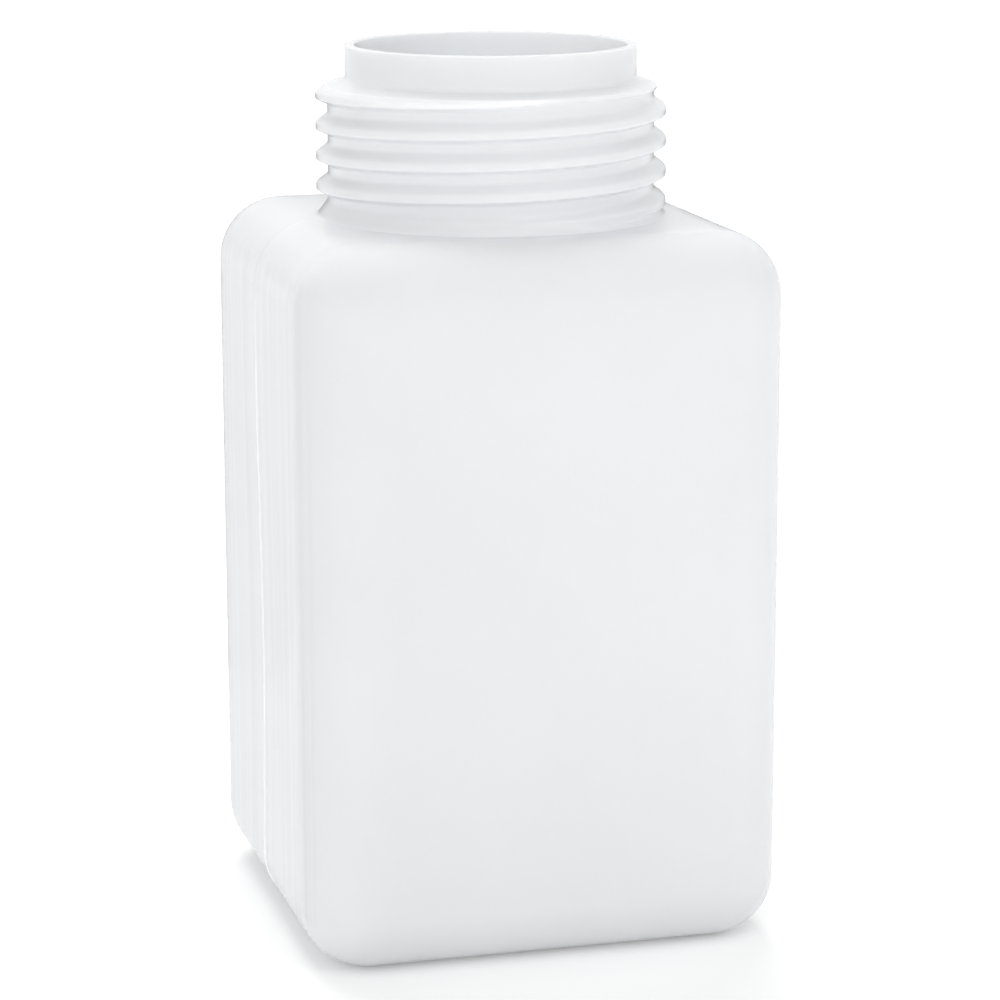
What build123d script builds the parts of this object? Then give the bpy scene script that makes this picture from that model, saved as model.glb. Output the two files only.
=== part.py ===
"""A one-litre square bottle with a wide threaded mouth, blow-moulded in one piece of high-density polyethylene.

The foot, the four walls, the shoulder and the neck are one hollow skin, and the thread stands on the neck.
Millimetres, +Z up. The origin is the centre of the foot, on the surface that the bottle stands on.
The mould parts on the XZ plane, so the parting line runs up the middle of the left and right walls.
"""

import os
from math import atan, ceil, cos, degrees, pi, radians, sin, tan

from build123d import *

# Body, outside
body_width = 90.0  # across the flat walls, the same both ways
overall_height = 164.0  # foot to lip
corner_radius = 12.5  # upright corners
edge_radius = 11.8  # foot and shoulder
wall = 1.5
inner_bevels = 3  # flat steps that stand for the rounding inside the foot and the shoulder

# Foot: a shallow square recess leaves a standing rim, and the mould's pinch leaves a weld across it
recess_width = 56.0
recess_corner = 9.0
recess_depth = 1.8
recess_draft = 45.0  # degrees from upright
pinch_length = 44.0
pinch_width = 1.4
pinch_height = 0.6
pinch_taper = 25.0  # degrees

# Neck and mouth
neck_height = 31.4  # shoulder to lip
neck_radius = 30.25  # also the root of the thread
neck_wall = 2.0
neck_flare = 2.2  # how far the neck spreads into the shoulder, in two bevels
ledge_drop = 6.3  # lip down to the ledge
ledge_fall = 1.15  # how far the ledge falls from the collar to its rim
rim_radius = 30.7
rim_height = 0.6
rim_taper = 0.5
rim_bevel = 0.25
collar_radius = 27.0
collar_bevel = 0.6
bore_radius = 25.2
step_height = 2.4  # inside slope from the neck's bore to the mouth's
step_cover = 2.2  # plastic between the ledge and that slope
lip_bevel = 0.45

# Thread: one start, right-handed
thread_pitch = 5.6
thread_depth = 2.2
thread_crest = 1.1  # width of the flat crest
thread_upper_flank = 1.7  # height of the upper flank
thread_lower_flank = 1.05  # the load flank is steeper
thread_turns = 4.27
thread_start = 290.0  # degrees about +Z from +X, where the upper end dies into the ledge
thread_start_drop = 1.0  # ledge down to the crest's middle at that end
thread_fade = 48.0  # degrees over which each end sinks into the neck
thread_root = 0.6  # how deep the rib is rooted in the neck
thread_cover = 0.45  # part of the rim that stays proud above the thread's upper end
points_per_turn = 24
seam_tolerance = 0.001  # how closely the stretches that the rib is swept in have to meet

# Parting line: a fine ridge where the halves of the mould meet
parting_width = 0.6
parting_height = 0.2
parting_stop = 1.5  # from the neck's flare to the end of the ridge

# Worked out from the sizes above
shoulder_height = overall_height - neck_height
ledge_height = overall_height - ledge_drop
rim_top = ledge_height - ledge_fall
rim_base = rim_top - rim_height - rim_taper
neck_bore_radius = neck_radius - neck_wall
step_top = ledge_height - step_cover
step_base = step_top - step_height


def recess_block(inset):
    """The tapered block that hollows the foot of a form whose skin lies that far inside the bottle's."""
    rim_width = recess_width + 2 * inset * tan(radians(45 - recess_draft / 2))
    taper = recess_depth * tan(radians(recess_draft))
    with BuildPart() as block:
        with BuildSketch(Plane.XY.offset(inset)):
            RectangleRounded(rim_width, rim_width, recess_corner + taper)
        with BuildSketch(Plane.XY.offset(inset + recess_depth)):
            RectangleRounded(rim_width - 2 * taper, rim_width - 2 * taper, recess_corner)
        loft(ruled=True)
    return block.part


def outer_form(growth):
    """The solid body below the neck, with every face that far outside the bottle's skin."""
    width = body_width + 2 * growth
    recess = recess_block(-growth)
    with BuildPart() as form:
        with BuildSketch(Plane.XY.offset(-growth)):
            RectangleRounded(width, width, corner_radius + growth)
        extrude(amount=shoulder_height + 2 * growth)
        fillet(form.faces().filter_by(Plane.XY).edges(), edge_radius + growth)
        add(recess, mode=Mode.SUBTRACT)
    return form.part


def inner_form():
    """The hollow of the body below the neck, one wall inside the skin, with bevelled floor and shoulder."""
    width = body_width - 2 * wall
    middle = shoulder_height / 2
    round_off = edge_radius - wall
    slopes = [radians(90 * step / inner_bevels) for step in range(inner_bevels + 1)]
    levels = [(round_off * (1 - cos(slope)), middle - wall - round_off * (1 - sin(slope))) for slope in slopes]
    recess = recess_block(wall)
    with BuildPart() as form:
        with BuildSketch(Plane.XY.offset(middle)):
            RectangleRounded(width, width, corner_radius - wall)
        extrude(amount=middle - wall - round_off, both=True)
        for facing in (-1, 1):
            for (back, level), (next_back, next_level) in zip(levels, levels[1:]):
                with BuildSketch(Plane.XY.offset(middle + facing * level)):
                    RectangleRounded(width - 2 * back, width - 2 * back, corner_radius - wall - back)
                rise = next_level - level
                extrude(amount=facing * rise, taper=degrees(atan((next_back - back) / rise)))
        add(recess, mode=Mode.SUBTRACT)
    return form.part


def flared_foot(radius, seat, root):
    """Profile points of a neck's foot, from the axis outward along root and up the two bevels of its flare."""
    half_way = neck_flare * (1 - sin(radians(45)))
    return [
        (0, root),
        (radius + neck_flare, root),
        (radius + neck_flare, seat),
        (radius + half_way, seat + half_way),
        (radius, seat + neck_flare),
    ]


def thread_points():
    """Points of the line that the rib follows, from its upper end down. At both ends it sinks into the neck."""
    count = ceil(thread_turns * points_per_turn)
    points = []
    for step in range(count + 1):
        turn = thread_turns * step / count
        into_end = min(turn, thread_turns - turn, thread_fade / 360) / (thread_fade / 360)
        sunk = (thread_depth + thread_root / 3) * (1 + cos(pi * into_end)) / 2
        angle = radians(thread_start) - 2 * pi * turn
        radius = neck_radius - sunk
        height = ledge_height - thread_start_drop - thread_pitch * turn
        points.append((radius * cos(angle), radius * sin(angle), height))
    return points


def thread_rib(path):
    """One stretch of the rib: a blunt tooth, rooted in the neck, swept along its part of the line."""
    start = path @ 0
    outward = Vector(start.X, start.Y, 0).normalized()
    rooted = (thread_depth + thread_root) / thread_depth
    lower_reach = thread_crest / 2 + thread_lower_flank * rooted
    upper_reach = thread_crest / 2 + thread_upper_flank * rooted
    with BuildPart() as rib:
        with BuildSketch(Plane(origin=start, x_dir=outward, z_dir=path % 0)):
            with BuildLine():
                Polyline(
                    (-thread_root, -lower_reach),
                    (thread_depth, -thread_crest / 2),
                    (thread_depth, thread_crest / 2),
                    (-thread_root, upper_reach),
                    close=True,
                )
            make_face()
        sweep(path=path, is_frenet=True)
        split(bisect_by=Plane.XY.offset(rim_top - thread_cover), keep=Keep.BOTTOM)
    return rib.part


# Outside: the body, and the neck turned on it with its flare, its ledge and the plain collar
body = outer_form(0)
with BuildPart() as skin:
    add(body)
    with BuildSketch(Plane.XZ) as neck_profile:
        with BuildLine():
            Polyline(
                *flared_foot(neck_radius, shoulder_height, shoulder_height - wall),
                (neck_radius, rim_base),
                (rim_radius, rim_base + rim_taper),
                (rim_radius, rim_top),
                (collar_radius, ledge_height),
                (collar_radius, overall_height),
                (0, overall_height),
                close=True,
            )
        make_face()
        chamfer(neck_profile.vertices().sort_by_distance((rim_radius, rim_top))[0], rim_bevel)
        chamfer(neck_profile.vertices().sort_by_distance((collar_radius, ledge_height))[0], collar_bevel)
        chamfer(neck_profile.vertices().sort_by_distance((collar_radius, overall_height))[0], lip_bevel)
    revolve(axis=Axis.Z)

# Parting line: the body grown by the ridge's height, kept only beside the parting plane
grown_body = outer_form(parting_height)
with BuildPart() as parting_line:
    with BuildSketch():
        Rectangle(2 * body_width, parting_width)
    extrude(amount=overall_height)
    add(grown_body, mode=Mode.INTERSECT)
    with BuildSketch(Plane.XY.offset(shoulder_height - wall)):
        Circle(neck_radius + neck_flare + parting_stop)
    extrude(amount=neck_height, mode=Mode.SUBTRACT)

# Weld left in the recess where the mould pinched the hot tube shut
with BuildPart() as pinch_weld:
    with BuildSketch(Plane.XY.offset(recess_depth)):
        SlotOverall(pinch_length, pinch_width)
    extrude(amount=-pinch_height, taper=pinch_taper)

# Inside: the body's hollow, and the neck's bore with its step up into the mouth
hollow_body = inner_form()
with BuildPart() as cavity:
    add(hollow_body)
    with BuildSketch(Plane.XZ):
        with BuildLine():
            Polyline(
                *flared_foot(neck_bore_radius, shoulder_height - wall, shoulder_height - 2 * wall),
                (neck_bore_radius, step_base),
                (bore_radius, step_top),
                (bore_radius, overall_height - lip_bevel),
                (bore_radius + lip_bevel, overall_height),
                (0, overall_height),
                close=True,
            )
        make_face()
    revolve(axis=Axis.Z)

# Thread: the rib is swept in stretches of under a turn
with BuildLine() as helix:
    Spline(*thread_points())
stretches = ceil(thread_turns)
marks = [mark / stretches for mark in range(stretches + 1)]
ribs = [thread_rib(helix.edge().trim(first, last)) for first, last in zip(marks, marks[1:])]
threaded_skin = skin.part.fuse(*ribs, tol=seam_tolerance)

# The bottle, in one piece
with BuildPart() as bottle:
    add(threaded_skin)
    add(parting_line)
    add(pinch_weld)
    add(cavity, mode=Mode.SUBTRACT)
bottle.part.label = "bottle"

os.makedirs("parts", exist_ok=True)
export_step(bottle.part, "parts/bottle.step")
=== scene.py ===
from math import atan2, cos, hypot, pi, radians, sin, tan

import bmesh
import bpy
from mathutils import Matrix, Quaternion, Vector


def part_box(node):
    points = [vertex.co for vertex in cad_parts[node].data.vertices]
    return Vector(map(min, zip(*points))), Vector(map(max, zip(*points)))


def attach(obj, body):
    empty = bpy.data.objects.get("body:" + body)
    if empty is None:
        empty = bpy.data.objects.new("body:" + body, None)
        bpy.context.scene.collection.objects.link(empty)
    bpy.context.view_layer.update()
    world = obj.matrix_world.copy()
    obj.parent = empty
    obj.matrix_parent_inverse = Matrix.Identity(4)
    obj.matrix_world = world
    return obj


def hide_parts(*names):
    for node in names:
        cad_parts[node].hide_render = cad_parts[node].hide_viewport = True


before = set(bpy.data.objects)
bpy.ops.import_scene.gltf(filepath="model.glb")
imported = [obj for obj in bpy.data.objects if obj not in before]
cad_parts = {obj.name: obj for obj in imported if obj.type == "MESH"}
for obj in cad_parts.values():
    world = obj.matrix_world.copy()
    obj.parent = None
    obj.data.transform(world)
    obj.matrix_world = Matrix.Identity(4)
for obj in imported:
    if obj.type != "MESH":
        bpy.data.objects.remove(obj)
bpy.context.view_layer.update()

bl_info = {
    "name": "Square Wide-mouth Bottle",
    "version": (1, 0, 0),
    "blender": (4, 5, 0),
    "location": "View3D > Sidebar > Bottle",
    "description": "Moulds a square plastic bottle with a threaded neck and sets it on a studio floor",
    "category": "Object",
}

MM = 0.001
BOTTLE = "bottle"
SKIN_HIGH = Vector(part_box(BOTTLE)[1])


def from_hex(text):
    """An sRGB hex colour as linear red, green and blue."""
    channels = [int(text[place:place + 2], 16) / 255 for place in (1, 3, 5)]
    return [c / 12.92 if c <= 0.04045 else ((c + 0.055) / 1.055) ** 2.4 for c in channels]


def length(name, description, default):
    """A length property whose default is given in millimetres."""
    return bpy.props.FloatProperty(
        name=name, description=description, default=default * MM, unit="LENGTH", precision=5, min=0
    )


def angle(name, description, default):
    """An angle property whose default is given in degrees."""
    return bpy.props.FloatProperty(
        name=name, description=description, default=radians(default), subtype="ANGLE"
    )


def colour(name, description, default):
    """A colour property whose default is an sRGB hex value."""
    return bpy.props.FloatVectorProperty(
        name=name, description=description, default=from_hex(default), subtype="COLOR", min=0, max=1
    )


class BottleSizes(bpy.types.PropertyGroup):
    """Sizes of the moulded skin, its neck and its thread."""

    # Body
    height: bpy.props.FloatProperty(
        name="Height", description="Foot to lip", default=SKIN_HIGH.z, unit="LENGTH", precision=5
    )
    half_width: bpy.props.FloatProperty(
        name="Half width", description="Axis to a flat wall", default=SKIN_HIGH.y, unit="LENGTH", precision=5
    )
    corner_radius: length("Corner radius", "Rounding of the four upright corners", 12.5)
    edge_radius: length("Edge radius", "Rounding of the foot and of the shoulder", 11.8)
    wall: length("Wall", "Thickness of the plastic", 1.5)
    sink: length("Sink", "How far the walls draw in at their weakest place as the plastic cools", 0.55)
    sink_height: length("Sink height", "Foot to the place where the walls draw in most", 50)
    sink_reach: length("Sink reach", "How far up and down the walls the sink spreads", 52)

    # Foot
    recess_half: length("Recess half width", "Axis to the edge of the hollow under the foot", 28)
    recess_corner: length("Recess corner", "Corner radius of the hollow's ceiling", 9)
    recess_depth: length("Recess depth", "Depth of the hollow", 1.8)
    recess_edge_round: length("Recess edge rounding", "Rounding of the standing rim's inner edge", 1.2)
    recess_top_round: length("Recess top rounding", "Rounding where the hollow's slope meets its ceiling", 2)
    weld_length: length("Weld length", "Length of the pinch weld under the foot", 44)
    weld_width: length("Weld width", "Width of the pinch weld", 1.4)
    weld_height: length("Weld height", "Height of the pinch weld", 0.6)

    # Neck
    neck_height: length("Neck height", "Shoulder to lip", 31.4)
    neck_radius: length("Neck radius", "Radius of the neck at the thread's root", 30.25)
    neck_wall: length("Neck wall", "Thickness of the neck", 2)
    neck_flare: length("Neck flare", "Hollow rounding between the neck and the shoulder", 2.8)
    foot_swell: length("Foot swell", "How far the neck's foot swells out above that rounding", 2.1)
    foot_rise: length("Foot rise", "Height over which the swell dies into the neck", 2.9)
    ledge_drop: length("Ledge drop", "Lip down to the ledge", 6.3)
    ledge_fall: length("Ledge fall", "How far the ledge falls towards its rim", 1.15)
    rim_radius: length("Rim radius", "Radius of the ledge", 30.7)
    rim_height: length("Rim height", "Upright part of the ledge's rim", 0.6)
    rim_taper: length("Rim taper", "Slope under the ledge's rim", 0.5)
    rim_round: length("Rim rounding", "Rounding along the rim's upper edge", 0.35)
    rim_under_round: length("Rim under rounding", "Rounding along the slope under the rim", 0.3)
    collar_radius: length("Collar radius", "Radius of the plain collar above the ledge", 27)
    collar_fillet: length("Collar fillet", "Hollow rounding where the collar meets the ledge", 0.9)
    lip_round: length("Lip rounding", "Rounding of the lip's two edges", 0.35)
    bore_radius: length("Bore radius", "Inside radius of the mouth", 25.2)
    step_height: length("Step height", "Slope inside from the neck's bore to the mouth's", 2.4)
    step_cover: length("Step cover", "Plastic between the ledge and that slope", 2.2)
    step_round: length("Step rounding", "Rounding of that slope's two edges", 1.5)

    # Thread
    thread_pitch: length("Thread pitch", "Rise of the rib in one turn", 5.6)
    thread_depth: length("Thread depth", "How far the rib stands out of the neck", 2.2)
    thread_crest: length("Thread crest", "Width of the rib's crest", 1.3)
    thread_upper_flank: length("Upper flank", "Height of the rib's upper flank", 1.6)
    thread_lower_flank: length("Lower flank", "Height of the rib's load flank", 0.95)
    thread_softness: length("Thread softness", "Rounding along the crest's upper edge and the root", 0.5)
    thread_edge: length("Thread edge", "Rounding along the crest's lower edge, which is crisper", 0.15)
    thread_turns: bpy.props.FloatProperty(name="Thread turns", description="Turns of the rib", default=4.27)
    thread_start: angle("Thread start", "Where the rib's upper end dies into the ledge", 290)
    thread_start_drop: length("Thread start drop", "Ledge down to the crest at that end", 1)
    thread_fade: angle("Thread fade", "Turn over which the upper end sinks into the neck", 48)
    thread_tail: angle("Thread tail", "Turn over which the lower end sinks into the neck", 150)
    thread_sunk: length("Thread sunk", "How deep under the neck's skin the rib's ends lie", 0.2)
    thread_cover: length("Thread cover", "Part of the rim that stays proud above the rib", 0.45)

    # Parting line
    parting_half: length("Parting half width", "Half the width of the mould's parting ridge", 0.3)
    parting_height: length("Parting height", "Height of the parting ridge", 0.2)
    parting_stop: length("Parting stop", "From the neck's flare to the end of the ridge", 1.5)

    # Mesh
    columns: bpy.props.IntProperty(name="Columns", description="Steps round the bottle", default=288)
    thread_row: length("Thread row", "Distance between the rows of mesh that carry the thread", 0.165)
    flat_share: angle("Flat share", "Turn to each side of a wall's middle that is flat wall", 32.5)


class BottleFinish(bpy.types.PropertyGroup):
    """Colours and surface of the plastic."""

    plastic: colour("Plastic", "Colour of the natural plastic", "#F2F3F4")
    thin_plastic: colour("Thin plastic", "Colour where the wall was stretched thinner", "#ECEEF1")
    # Die line colour: partly painted shade, darker streaks for the shading that the die lines' relief gets at
    # a grazing view
    die_line_shade: colour("Die line", "Colour of the streaks that the extruded tube leaves", "#DFE2E6")
    # Ridge colour: a painted highlight, the light that the fine parting ridge catches
    ridge: colour("Ridge", "Colour of the parting ridge", "#FFFFFF")
    roughness: bpy.props.FloatProperty(
        name="Roughness", description="Satin of the moulded skin", default=0.25, subtype="FACTOR"
    )


# Name, level, turn about the bottle from the front (right is positive) and rise above it in degrees,
# distance and width in metres
SOFTBOXES = (
    ("front_high", 0.15, 0, 60, 6.0, 3.4),
    ("front_left", 0.23, -45, 20, 6.0, 3.4),
    ("back_high", 0.47, 180, 60, 6.0, 3.4),
    ("right_near", 0.10, 75, 15, 0.5, 0.35),
    ("front_right", 0.08, 30, 10, 0.4, 0.2),
)


class StageSettings(bpy.types.PropertyGroup):
    """Camera, lamps and floor."""

    camera_place: bpy.props.FloatVectorProperty(
        name="Camera place", description="Where the camera stands", default=(-0.1670, -0.6209, 0.2208),
        unit="LENGTH",
    )
    camera_heading: bpy.props.FloatVectorProperty(
        name="Camera heading", description="Which way the camera looks", default=(0.25585, 0.94198, -0.21730),
    )
    camera_roll: angle("Camera roll", "Turn of the camera about its own axis", -0.102)
    focal_length: bpy.props.FloatProperty(
        name="Focal length", description="On a 36 mm wide sensor", default=124.94, unit="CAMERA"
    )
    room_light: bpy.props.FloatProperty(
        name="Room light", description="Even light from all round", default=0.43
    )
    near_glow: bpy.props.FloatProperty(
        name="Near glow", description="How much brighter the near floor is seen than lit", default=0.22
    )
    far_glow: bpy.props.FloatProperty(
        name="Far glow", description="How much brighter the far floor is seen than lit", default=0.3
    )
    inside_light: bpy.props.FloatProperty(
        name="Inside light", description="What the lamp in the neck adds its own width above it", default=0.45
    )
    inside_height: length("Inside height", "Floor to the lamp in the neck", 118)
    inside_size: length("Inside size", "Width of the lamp in the neck", 44)
    card_distance: length("Card distance", "Axis to the black card behind the bottle", 150)
    card_width: length("Card width", "Width of the black card", 200)
    card_height: length("Card height", "Height of the black card", 145)
    floor_half: length("Floor half width", "Axis to the floor's edge", 3000)


# ---------------------------------------------------------------- profile of the skin

# How closely a vertex is told to be on a flat of the section
HAIR = 0.01 * MM

# Rounding of the hollow's edges where they show on the floor inside
FLOOR_ROUND = 1 * MM

# Distances between the rows of mesh on the walls and on other long runs, and how long a run is to be a wall
WALL_ROW, COARSE_ROW, WALL_RUN = 4.5 * MM, 6 * MM, 20 * MM

# Smallest corner radius in the sections of the foot's hollow, as a share of their half width
LEAST_CORNER = 0.35


def rounding(bm, vertex, radius, segments):
    """Rounds a corner of the profile to a radius."""
    here = vertex.co.copy()
    arms = [edge.other_vert(vertex).co - here for edge in vertex.link_edges]
    reach = radius / tan(arms[0].angle(arms[1]) / 2)
    bmesh.ops.bevel(
        bm, geom=[vertex], offset=reach, offset_type="OFFSET", segments=segments, profile=0.5,
        affect="VERTICES", material=-1, clamp_overlap=False, loop_slide=False,
    )


def draw_profile(bm, s):
    """Half of the skin's section, from the middle of the foot over the lip to the floor's middle inside."""
    shoulder = s.height - s.neck_height
    ledge = s.height - s.ledge_drop
    rim_top = ledge - s.ledge_fall
    rim_base = rim_top - s.rim_height - s.rim_taper
    neck_bore = s.neck_radius - s.neck_wall
    step_top = ledge - s.step_cover
    half_inside = s.half_width - s.wall
    ceiling_half = s.recess_half - s.recess_depth
    # Each corner is (radius, height, rounding, segments of the rounding)
    corners = [
        (0, s.recess_depth, 0, 0),
        (ceiling_half, s.recess_depth, s.recess_top_round, 6),
        (s.recess_half, 0, s.recess_edge_round, 6),
        (s.half_width, 0, s.edge_radius, 14),
        (s.half_width, shoulder, s.edge_radius, 14),
        (s.neck_radius, shoulder, s.neck_flare, 14),
        (s.neck_radius, rim_base, s.rim_under_round, 2),
        (s.rim_radius, rim_base + s.rim_taper, s.rim_under_round, 3),
        (s.rim_radius, rim_top, s.rim_round, 4),
        (s.collar_radius, ledge, s.collar_fillet, 6),
        (s.collar_radius, s.height, s.lip_round, 7),
        (s.bore_radius, s.height, s.lip_round, 7),
        (s.bore_radius, step_top, s.step_round, 4),
        (neck_bore, step_top - s.step_height, s.step_round, 4),
        (neck_bore, shoulder - s.wall, s.neck_flare + s.wall, 6),
        (half_inside, shoulder - s.wall, s.edge_radius - s.wall, 8),
        (half_inside, s.wall, s.edge_radius - s.wall, 8),
        (s.recess_half + s.wall / 2, s.wall, FLOOR_ROUND, 3),
        (ceiling_half + s.wall / 2, s.wall + s.recess_depth, FLOOR_ROUND, 3),
        (0, s.wall + s.recess_depth, 0, 0),
    ]
    vertices = [bm.verts.new((radius, 0, height)) for radius, height, _, _ in corners]
    for lower, upper in zip(vertices, vertices[1:]):
        bm.edges.new((lower, upper))
    for vertex, (_, _, radius, segments) in zip(vertices, corners):
        if radius:
            rounding(bm, vertex, radius, segments)

    # Long runs get rows of their own: fine ones where the thread stands, coarse ones elsewhere
    def cut(edges, spacing):
        for edge in edges:
            cuts = int(edge.calc_length() / spacing)
            if cuts:
                bmesh.ops.subdivide_edges(bm, edges=[edge], cuts=cuts)

    middle = [(edge, (edge.verts[0].co + edge.verts[1].co) / 2) for edge in bm.edges]
    threaded = [
        edge for edge, place in middle
        if place.x > s.neck_radius - 10 * HAIR and shoulder + s.neck_flare / 2 < place.z < rim_top
    ]
    upright = [
        edge for edge, place in middle
        if place.x > half_inside - HAIR and edge.calc_length() > WALL_RUN
    ]
    cut(threaded, s.thread_row)
    cut(upright, WALL_ROW)
    cut([edge for edge in bm.edges if edge.calc_length() > COARSE_ROW], COARSE_ROW)


# ---------------------------------------------------------------- from turned to square


def note_sections(bm, s):
    """Writes on each vertex of the profile how square the section at its height is, with what corners."""
    squareness = bm.verts.layers.float.new("squareness")
    corner = bm.verts.layers.float.new("corner")
    outside = bm.verts.layers.float.new("outside")
    shoulder = s.height - s.neck_height
    chain = sorted_chain(bm)
    lip = max(range(len(chain)), key=lambda place: chain[place].co.z)
    for place, vertex in enumerate(chain):
        inner = place > lip
        skin = s.wall if inner else 0
        half = vertex.co.x
        height = vertex.co.z
        centre = s.half_width - s.corner_radius
        flat_top = height > shoulder - skin - HAIR
        flare_edge = s.neck_radius - (s.neck_wall if inner else 0) + s.neck_flare + skin
        square_edge = s.half_width - s.edge_radius
        vertex[outside] = 0 if inner else 1
        if not flat_top:
            vertex[squareness] = 1
        elif height < shoulder - skin + HAIR:
            vertex[squareness] = min(1, max(0, (half - flare_edge) / (square_edge - flare_edge)))
        else:
            vertex[squareness] = 0
        recess_corner_centre = s.recess_half - s.recess_depth - s.recess_corner
        if half > square_edge:
            vertex[corner] = half - centre
        elif flat_top:
            vertex[corner] = square_edge - centre
        elif half < s.recess_half + FLOOR_ROUND:
            vertex[corner] = min(half, max(half - recess_corner_centre, LEAST_CORNER * half))
        else:
            share = (half - s.recess_half) / (square_edge - s.recess_half)
            vertex[corner] = (1 - share) * (half - recess_corner_centre) + share * (square_edge - centre)


def sorted_chain(bm):
    """The profile's vertices from one end to the other, starting at the lower end."""
    ends = sorted((v for v in bm.verts if len(v.link_edges) == 1), key=lambda v: v.co.z)
    chain = [ends[0]]
    edge = ends[0].link_edges[0]
    while True:
        vertex = edge.other_vert(chain[-1])
        chain.append(vertex)
        onward = [e for e in vertex.link_edges if e is not edge]
        if not onward:
            return chain
        edge = onward[0]


def square_up(bm, s):
    """Moves the turned rows of the body out to rounded squares, and lets the cooling walls draw in."""
    squareness = bm.verts.layers.float["squareness"]
    corner_layer = bm.verts.layers.float["corner"]
    quarter, eighth = pi / 2, pi / 4
    for vertex in bm.verts:
        square = vertex[squareness]
        if not square:
            continue
        radius = hypot(vertex.co.x, vertex.co.y)
        turn = atan2(vertex.co.y, vertex.co.x)
        side = round(turn / quarter)
        off = turn - side * quarter
        corner = vertex[corner_layer]
        straight = radius - corner
        if abs(off) <= s.flat_share:
            out, along = radius, straight * off / s.flat_share
        else:
            swing = eighth * (abs(off) - s.flat_share) / (eighth - s.flat_share)
            out = straight + corner * cos(swing)
            along = straight + corner * sin(swing)
            along = along if off > 0 else -along
        # The wall draws in most at its middle, low down where the plastic is thickest
        if radius > s.half_width - s.wall - s.edge_radius / 2:
            rise = min(1, abs(vertex.co.z - s.sink_height) / s.sink_reach)
            reach = min(1, abs(along) / (s.half_width - s.corner_radius))
            out -= s.sink * (1 - rise ** 2) ** 2 * (1 - reach ** 2) ** 2
        out = square * out + (1 - square) * radius * cos(off)
        along = square * along + (1 - square) * radius * sin(off)
        vertex.co.x = out * cos(side * quarter) - along * sin(side * quarter)
        vertex.co.y = out * sin(side * quarter) + along * cos(side * quarter)


# ---------------------------------------------------------------- thread


def soft_max(a, b, softness):
    """The larger of two values, with a hollow fillet where they cross."""
    near = max(softness - abs(a - b), 0) / softness
    return max(a, b) + near * near * softness / 4


def soft_min(a, b, softness):
    """The smaller of two values, with the corner where they cross rounded off."""
    return -soft_max(-a, -b, softness)


def rib_height(s, turn, height):
    """How far the rib stands out of the neck at a turn about the axis and a height."""
    crest_start = s.height - s.ledge_drop - s.thread_start_drop
    last = s.thread_turns * 2 * pi
    stands = -1.0
    travelled = (s.thread_start - turn) % (2 * pi)
    while travelled <= last:
        above = height - (crest_start - s.thread_pitch * travelled / (2 * pi))
        flank = s.thread_upper_flank if above > 0 else s.thread_lower_flank
        slope = s.thread_depth * (s.thread_crest / 2 + flank - abs(above)) / flank
        into_end = min(travelled / s.thread_fade, (last - travelled) / s.thread_tail, 1)
        sunk = (s.thread_depth + s.thread_sunk) * (1 + cos(pi * into_end)) / 2
        edge = s.thread_softness if above > 0 else s.thread_edge
        stands = max(stands, soft_min(slope, s.thread_depth, edge) - sunk)
        travelled += 2 * pi
    return stands


def raise_thread(bm, s):
    """Pushes the rib of the thread out of the neck's skin."""
    outside = bm.verts.layers.float["outside"]
    shoulder = s.height - s.neck_height
    rim_top = s.height - s.ledge_drop - s.ledge_fall
    top = rim_top - s.thread_cover
    for vertex in bm.verts:
        if not vertex[outside] or not shoulder + HAIR < vertex.co.z < top:
            continue
        radius = hypot(vertex.co.x, vertex.co.y)
        turn = atan2(vertex.co.y, vertex.co.x)
        swell = s.foot_swell * (1 - (vertex.co.z - shoulder) / s.foot_rise)
        foot = soft_max(radius, s.neck_radius + swell, s.thread_softness)
        grown = soft_max(foot, s.neck_radius + rib_height(s, turn, vertex.co.z), s.thread_softness)
        vertex.co.x *= grown / radius
        vertex.co.y *= grown / radius


# ---------------------------------------------------------------- parting line and weld

# Width of skin beside the parting plane that is cut finer, and the cuts in it in half widths of the ridge
PARTING_BAND = 3 * MM
PARTING_CUTS = (-2, -1, -0.4, 0.4, 1, 2)

# Share of its full height that the ridge stands out, so that the skin stays inside the CAD's box
RIDGE_SHARE = 0.9

# The ridge is trimmed by this share over the shoulder, from below the rounding on, over this height
TRIM_SHARE, TRIM_BELOW, TRIM_HEIGHT = 0.75, 4 * MM, 8 * MM

# Skin round the weld that is cut with it, width of the weld's slope, and width of its soft top edge
WELD_MARGIN, WELD_SLOPE, WELD_EDGE = 0.3 * MM, 0.28 * MM, 0.1 * MM


def slit(bm, faces, point, normal):
    """Cuts the given faces along a plane, and returns them with the new ones."""
    parts = set(faces)
    for face in faces:
        parts.update(face.verts)
        parts.update(face.edges)
    cut = bmesh.ops.bisect_plane(bm, geom=list(parts), dist=1e-7, plane_co=point, plane_no=normal)
    return [part for part in cut["geom"] if isinstance(part, bmesh.types.BMFace)]


def raise_parting_line(bm, s):
    """Draws the fine ridge up the middle of the two side walls, where the halves of the mould met."""
    outside = bm.verts.layers.float["outside"]
    shoulder = s.height - s.neck_height
    stop = s.neck_radius + s.neck_flare + s.parting_stop

    def on_band(face):
        middle = face.calc_center_median()
        return (
            all(vertex[outside] for vertex in face.verts)
            and abs(middle.y) < PARTING_BAND
            and abs(middle.x) > stop - PARTING_BAND
            and middle.z < shoulder + HAIR
        )

    band = [face for face in bm.faces if on_band(face)]
    for offset in PARTING_CUTS:
        band = slit(bm, band, (0, offset * s.parting_half, 0), (0, 1, 0))
    bm.normal_update()
    crest = {
        vertex for face in band for vertex in face.verts
        if abs(vertex.co.y) < s.parting_half / 2 and abs(vertex.co.x) > stop and vertex.co.z < shoulder + HAIR
    }
    trim_start = shoulder - s.edge_radius - TRIM_BELOW
    for vertex, normal in [(vertex, vertex.normal.copy()) for vertex in crest]:
        left = 1 - TRIM_SHARE * min(1, max(0, (vertex.co.z - trim_start) / TRIM_HEIGHT))
        vertex.co += normal * s.parting_height * RIDGE_SHARE * left
        vertex.co.z = max(vertex.co.z, 0)


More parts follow.
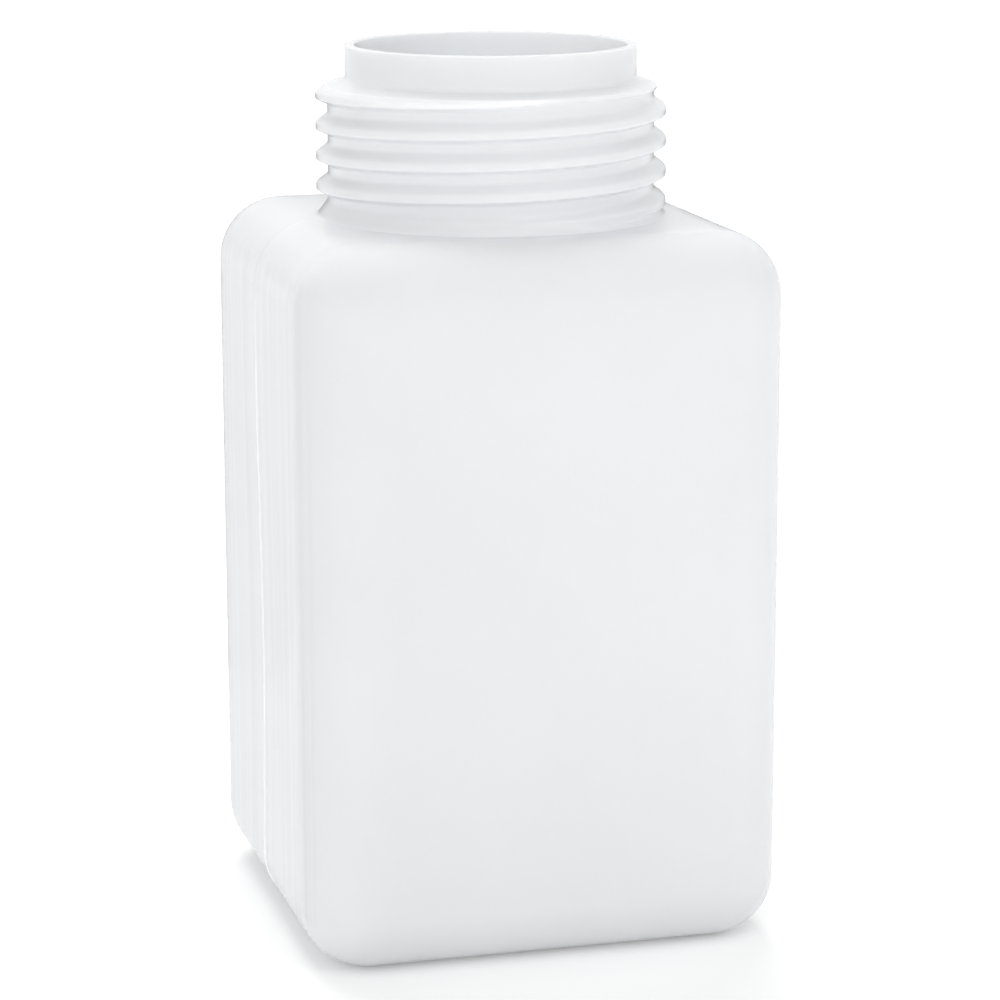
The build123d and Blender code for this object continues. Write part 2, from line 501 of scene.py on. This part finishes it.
def press_weld(bm, s):
    """Raises the weld in the foot's hollow, where the mould pinched the hot tube shut."""
    outside = bm.verts.layers.float["outside"]
    ceiling = [
        face for face in bm.faces
        if all(vertex[outside] and abs(vertex.co.z - s.recess_depth) < HAIR for vertex in face.verts)
    ]
    half_length, half_width = s.weld_length / 2, s.weld_width / 2
    for side in (-1, 1):
        ceiling = slit(bm, ceiling, (side * half_length, 0, 0), (1, 0, 0))
        ceiling = slit(bm, ceiling, (0, side * half_width, 0), (0, 1, 0))
        ceiling = slit(bm, ceiling, (0, side * (half_width + WELD_MARGIN), 0), (0, 1, 0))
    middles = [(face, face.calc_center_median()) for face in ceiling]
    strip = [face for face, middle in middles if abs(middle.x) < half_length and abs(middle.y) < half_width]
    pad = bmesh.ops.dissolve_faces(bm, faces=strip, use_verts=True)["region"]
    for width, rise in ((WELD_SLOPE, s.weld_height), (WELD_EDGE, 0)):
        bmesh.ops.inset_region(
            bm, faces=pad, thickness=width, depth=rise, use_even_offset=True, use_boundary=True
        )


# ---------------------------------------------------------------- materials

# Width of the clouds in the plastic, and how far light wanders in it
CLOUD, LIGHT_DEPTH = 40 * MM, 1.8 * MM

# Width and length of the die lines. They are coarser than real ones, so that they show
DIE_LINE_WIDTH, DIE_LINE_LENGTH = 1.9 * MM, 400 * MM

# How deep the die lines are, where their noise starts and is full, and the share of their painted shade at
# full
DIE_LINE_RELIEF, DIE_LINE_NOISE, DIE_LINE_SHADE_SHARE = 0.15 * MM, (0.42, 0.68), 0.45

# How far inside the flat of the side walls the die lines start, and from where they are full
SIDE_WALL_START, SIDE_WALL_FULL = 2.4 * MM, 0.7 * MM

# The ridge's painted highlight, a lighter line: where it fades out and is full beside its middle, and share
# of its colour at full
SEAM_EDGE, SEAM_CORE, SEAM_HIGHLIGHT_SHARE = 0.9 * MM, 0.3 * MM, 0.9

# Heights over which that line fades out towards the shoulder, from the end down
SEAM_TOP, SEAM_FULL = 122 * MM, 105 * MM

# Width and depth of the orange peel
PEEL, PEEL_RELIEF = 0.7 * MM, 0.05 * MM

# How far from the bottle the floor's glow starts to rise, and where it is full
NEAR_FLOOR, FAR_FLOOR = 80 * MM, 900 * MM


def add_node(tree, kind, values=None, links=None, **settings):
    """Adds a node, sets its properties and input values, and links its inputs to other nodes' outputs."""
    node = tree.nodes.new(kind)
    for name, value in settings.items():
        setattr(node, name, value)
    for name, value in (values or {}).items():
        node.inputs[name].default_value = value
    for name, socket in (links or {}).items():
        tree.links.new(socket, node.inputs[name])
    return node


def spread(tree, value, start, end, low, high):
    """Output that goes from low to high as a value goes from start to end."""
    ends = {"From Min": start, "From Max": end, "To Min": low, "To Max": high}
    return add_node(tree, "ShaderNodeMapRange", ends, {"Value": value}).outputs[0]


def work_out(tree, operation, *values):
    """Output of one piece of arithmetic on linked values."""
    return add_node(tree, "ShaderNodeMath", {}, dict(enumerate(values)), operation=operation).outputs[0]


def tinted(tree, under, colour_over, share):
    """Output of a colour laid over another one by a linked share."""
    values = {"B": (*colour_over, 1)}
    links = {"A": under, "Factor": share}
    return add_node(tree, "ShaderNodeMix", values, links, data_type="RGBA").outputs["Result"]


def natural_polyethylene(finish):
    """Natural high-density polyethylene, blow-moulded.

    The plastic is milky and lets a little light in, so edges look soft. The mould's blasted skin gives a
    broad, even sheen, the extruded tube leaves faint upright streaks, and the thickness wanders a little.
    The streaks' darker tint on the side walls is painted shade, and the lighter line up the parting ridge
    is a painted highlight.
    """
    material = bpy.data.materials.new("Natural HDPE, blow-moulded")
    material.use_nodes = True
    tree = material.node_tree
    tree.nodes.clear()
    place = add_node(tree, "ShaderNodeTexCoord").outputs["Object"]
    axes = add_node(tree, "ShaderNodeSeparateXYZ", {}, {"Vector": place}).outputs

    # Clouds of thicker and thinner plastic
    clouds = add_node(tree, "ShaderNodeTexNoise", {"Scale": 1 / CLOUD, "Detail": 1.0}, {"Vector": place})
    tint = add_node(
        tree, "ShaderNodeMix", {"A": (*finish.plastic, 1), "B": (*finish.thin_plastic, 1)},
        {"Factor": clouds.outputs["Fac"]}, data_type="RGBA",
    )

    # Die lines, as relief and as darker streaks in the colour. The darker streaks are painted shade, for the
    # shading that their relief gets at a grazing view, so they are laid only on the two side walls
    narrow, long = 1 / DIE_LINE_WIDTH, 1 / DIE_LINE_LENGTH
    drawn_out = add_node(tree, "ShaderNodeMapping", {"Scale": (narrow, narrow, long)}, {"Vector": place})
    lines = add_node(
        tree, "ShaderNodeTexNoise", {"Scale": 1.0, "Detail": 3.0, "Roughness": 0.7},
        {"Vector": drawn_out.outputs[0]},
    )
    across = work_out(tree, "ABSOLUTE", axes["X"])
    side_wall = spread(tree, across, SKIN_HIGH.y - SIDE_WALL_START, SKIN_HIGH.y - SIDE_WALL_FULL, 0.0, 1.0)
    faint, clear = DIE_LINE_NOISE
    streak = spread(tree, lines.outputs["Fac"], faint, clear, 0.0, DIE_LINE_SHADE_SHARE)
    streaks = work_out(tree, "MULTIPLY", side_wall, streak)
    shade_streaked = tinted(tree, tint.outputs["Result"], finish.die_line_shade, streaks)

    # Painted highlight: the parting ridge is drawn as a lighter line up the side walls, for the light that
    # the fine ridge catches, fading out towards the shoulder
    off_seam = work_out(tree, "ABSOLUTE", axes["Y"])
    seam_highlight = spread(tree, off_seam, SEAM_EDGE, SEAM_CORE, 0.0, 1.0)
    below = spread(tree, axes["Z"], SEAM_TOP, SEAM_FULL, 0.0, SEAM_HIGHLIGHT_SHARE)
    plastic = tinted(tree, shade_streaked, finish.ridge, work_out(tree, "MULTIPLY", seam_highlight, below))

    # Relief of the die lines, and over it the fine orange peel of the blasted mould
    relief = add_node(
        tree, "ShaderNodeBump", {"Strength": 0.12, "Distance": DIE_LINE_RELIEF}, {"Height": streaks}
    )
    peel = add_node(tree, "ShaderNodeTexNoise", {"Scale": 1 / PEEL, "Detail": 2.0}, {"Vector": place})
    skin = add_node(
        tree, "ShaderNodeBump", {"Strength": 0.1, "Distance": PEEL_RELIEF},
        {"Height": peel.outputs["Fac"], "Normal": relief.outputs[0]},
    )
    shader = add_node(
        tree, "ShaderNodeBsdfPrincipled",
        {
            "Roughness": finish.roughness, "IOR": 1.54, "Metallic": 0.0,
            "Subsurface Weight": 1.0, "Subsurface Radius": (1.0, 1.0, 1.0), "Subsurface Scale": LIGHT_DEPTH,
        },
        {"Base Color": plastic, "Normal": skin.outputs[0]}, subsurface_method="BURLEY",
    )
    add_node(tree, "ShaderNodeOutputMaterial", links={"Surface": shader.outputs[0]})
    return material


def background_rays(tree):
    """Output that is 1 for the rays that see the white background: camera, glossy and transmission rays."""
    ray = add_node(tree, "ShaderNodeLightPath").outputs
    mirrored = work_out(tree, "MAXIMUM", ray["Is Camera Ray"], ray["Is Glossy Ray"])
    return work_out(tree, "MAXIMUM", mirrored, ray["Is Transmission Ray"])


def white_sweep(near_glow, far_glow):
    """White background paper, matt.

    The lamps reach its far end less, so it is lifted where it is seen as the background, and only the
    bottle's shadow shows.
    """
    material = bpy.data.materials.new("White paper, matt")
    material.use_nodes = True
    tree = material.node_tree
    tree.nodes.clear()
    paper = add_node(
        tree, "ShaderNodeBsdfPrincipled",
        {"Base Color": (*from_hex("#F4F4F4"), 1), "Roughness": 1.0, "Specular IOR Level": 0.0},
    )
    place = add_node(tree, "ShaderNodeTexCoord").outputs["Object"]
    away = add_node(tree, "ShaderNodeVectorMath", {}, {0: place}, operation="LENGTH").outputs["Value"]
    glow = spread(tree, away, NEAR_FLOOR, FAR_FLOOR, near_glow, far_glow)
    lift = work_out(tree, "MULTIPLY", background_rays(tree), glow)
    light = add_node(tree, "ShaderNodeEmission", {"Color": (1, 1, 1, 1)}, {"Strength": lift})
    both = add_node(tree, "ShaderNodeAddShader", {}, {0: paper.outputs[0], 1: light.outputs[0]})
    add_node(tree, "ShaderNodeOutputMaterial", links={"Surface": both.outputs[0]})
    return material


def black_card():
    """Black card, matt: it has no sheen of its own."""
    material = bpy.data.materials.new("Black card, matt")
    material.use_nodes = True
    shader = material.node_tree.nodes["Principled BSDF"]
    shader.inputs["Base Color"].default_value = (*from_hex("#1A1A1A"), 1)
    shader.inputs["Roughness"].default_value = 1.0
    return material


# ---------------------------------------------------------------- operators


class MouldBottle(bpy.types.Operator):
    """Mould the hollow bottle in one skin, with its thread, parting line and weld"""

    bl_idname = "bottle.mould"
    bl_label = "Mould Bottle"

    def execute(self, context):
        s = context.scene.bottle_sizes
        bm = bmesh.new()
        draw_profile(bm, s)
        note_sections(bm, s)
        bmesh.ops.spin(
            bm, geom=bm.verts[:] + bm.edges[:], cent=(0, 0, 0), axis=(0, 0, 1), dvec=(0, 0, 0), angle=2 * pi,
            steps=s.columns, use_merge=True, use_normal_flip=False, use_duplicate=False,
        )
        bmesh.ops.remove_doubles(bm, verts=bm.verts[:], dist=1e-3 * MM)
        bmesh.ops.recalc_face_normals(bm, faces=bm.faces[:])
        square_up(bm, s)
        raise_thread(bm, s)
        raise_parting_line(bm, s)
        press_weld(bm, s)
        for face in bm.faces:
            face.smooth = True
        mesh = bpy.data.meshes.new("bottle_skin")
        bm.to_mesh(mesh)
        bm.free()
        piece = bpy.data.objects.new("bottle_skin", mesh)
        context.collection.objects.link(piece)
        mesh.materials.append(natural_polyethylene(context.scene.bottle_finish))
        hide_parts(BOTTLE)
        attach(piece, "root")
        return {"FINISHED"}


def aim(thing, place, heading, roll=0.0):
    """Puts a lamp or camera at a place, looking along a heading."""
    thing.location = place
    thing.rotation_mode = "QUATERNION"
    thing.rotation_quaternion = Vector(heading).to_track_quat("-Z", "Y") @ Quaternion((0, 0, 1), roll)


def softbox(context, name, level, turn, rise, distance, size):
    """A square area lamp that faces the bottle's middle, from a turn about the bottle and a rise above it.

    The level is what it adds to a white surface that faces it from the bottle's place. Reflections don't
    see it, as with crossed polarisers, so it leaves no hot spots.
    """
    lamp = bpy.data.lights.new(name, "AREA")
    lamp.shape, lamp.size, lamp.energy = "SQUARE", size, level * (pi * distance) ** 2
    thing = bpy.data.objects.new(name, lamp)
    context.collection.objects.link(thing)
    thing.visible_glossy = False
    way = Vector((sin(turn) * cos(rise), -cos(turn) * cos(rise), sin(rise)))
    aim(thing, Vector((0, 0, SKIN_HIGH.z / 2)) + way * distance, -way)


def light_inside(context, level, height, size):
    """A round lamp in the neck that faces up, for the daylight that the thin walls let into the mouth."""
    lamp = bpy.data.lights.new("inside", "AREA")
    lamp.shape, lamp.size, lamp.energy = "DISK", size, level * (pi * size) ** 2
    thing = bpy.data.objects.new("inside", lamp)
    context.collection.objects.link(thing)
    thing.visible_camera = thing.visible_glossy = False
    aim(thing, (0, 0, height), (0, 0, 1))


def set_out(context, name, bm, material):
    """Makes a mesh of the stage from a bmesh, and returns its object."""
    mesh = bpy.data.meshes.new(name)
    bm.to_mesh(mesh)
    bm.free()
    thing = bpy.data.objects.new(name, mesh)
    context.collection.objects.link(thing)
    mesh.materials.append(material)
    return thing


def stand_card(context, heading, distance, width, height):
    """A black card behind the bottle that only reflections see, for the dark outline of white on white.

    It is too low for the shoulder's reflections and too narrow for the left wall's, which stay white.
    """
    bm = bmesh.new()
    bmesh.ops.create_grid(bm, x_segments=1, y_segments=1, size=0.5)
    bmesh.ops.scale(bm, verts=bm.verts[:], vec=(width, height, 1))
    behind = Vector((heading[0], heading[1], 0)).normalized()
    upright = behind.to_track_quat("Z", "Y").to_matrix()
    bmesh.ops.rotate(bm, verts=bm.verts[:], cent=(0, 0, 0), matrix=upright)
    bmesh.ops.translate(bm, verts=bm.verts[:], vec=behind * distance + Vector((0, 0, height / 2)))
    card = set_out(context, "outline_card", bm, black_card())
    for seen_by in ("camera", "diffuse", "transmission", "volume_scatter", "shadow"):
        setattr(card, "visible_" + seen_by, False)
    return card


class SetStage(bpy.types.Operator):
    """Set the white floor, the soft studio lamps and the camera"""

    bl_idname = "bottle.set_stage"
    bl_label = "Set Stage"

    def execute(self, context):
        t = context.scene.bottle_stage
        bm = bmesh.new()
        bmesh.ops.create_grid(bm, x_segments=1, y_segments=1, size=t.floor_half)
        floor = set_out(context, "floor", bm, white_sweep(t.near_glow, t.far_glow))

        stand_card(context, t.camera_heading, t.card_distance, t.card_width, t.card_height)

        for name, level, turn, rise, distance, size in SOFTBOXES:
            softbox(context, name, level, radians(turn), radians(rise), distance, size)
        light_inside(context, t.inside_light, t.inside_height, t.inside_size)

        world = bpy.data.worlds.new("Studio")
        world.use_nodes = True
        tree = world.node_tree
        tree.nodes.clear()
        room = add_node(tree, "ShaderNodeBackground", {"Color": (1, 1, 1, 1), "Strength": t.room_light})
        white = add_node(tree, "ShaderNodeBackground", {"Color": (1, 1, 1, 1), "Strength": 1.0})
        chosen = add_node(tree, "ShaderNodeMixShader", {}, {
            0: background_rays(tree), 1: room.outputs[0], 2: white.outputs[0],
        })
        add_node(tree, "ShaderNodeOutputWorld", links={"Surface": chosen.outputs[0]})
        context.scene.world = world

        lens = bpy.data.cameras.new("camera")
        lens.sensor_width = 36
        lens.lens = t.focal_length
        lens.clip_start, lens.clip_end = 0.05, 20
        camera = bpy.data.objects.new("camera", lens)
        context.collection.objects.link(camera)
        aim(camera, t.camera_place, t.camera_heading, t.camera_roll)
        context.scene.camera = camera
        context.scene.view_settings.view_transform = "Standard"
        return {"FINISHED"}


class BottlePanel(bpy.types.Panel):
    """Sizes, finish and the two operators"""

    bl_idname = "VIEW3D_PT_bottle"
    bl_label = "Bottle"
    bl_space_type = "VIEW_3D"
    bl_region_type = "UI"
    bl_category = "Bottle"

    def draw(self, context):
        for group in (context.scene.bottle_sizes, context.scene.bottle_finish, context.scene.bottle_stage):
            box = self.layout.box()
            for name in group.__annotations__:
                box.prop(group, name)
        self.layout.operator(MouldBottle.bl_idname)
        self.layout.operator(SetStage.bl_idname)


CLASSES = (BottleSizes, BottleFinish, StageSettings, MouldBottle, SetStage, BottlePanel)


def register():
    for cls in CLASSES:
        bpy.utils.register_class(cls)
    bpy.types.Scene.bottle_sizes = bpy.props.PointerProperty(type=BottleSizes)
    bpy.types.Scene.bottle_finish = bpy.props.PointerProperty(type=BottleFinish)
    bpy.types.Scene.bottle_stage = bpy.props.PointerProperty(type=StageSettings)


def unregister():
    del bpy.types.Scene.bottle_stage, bpy.types.Scene.bottle_finish, bpy.types.Scene.bottle_sizes
    for cls in reversed(CLASSES):
        bpy.utils.unregister_class(cls)


def main():
    """Registers the classes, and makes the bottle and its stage."""
    register()
    bpy.ops.bottle.mould()
    bpy.ops.bottle.set_stage()


if __name__ == "__main__":
    main()
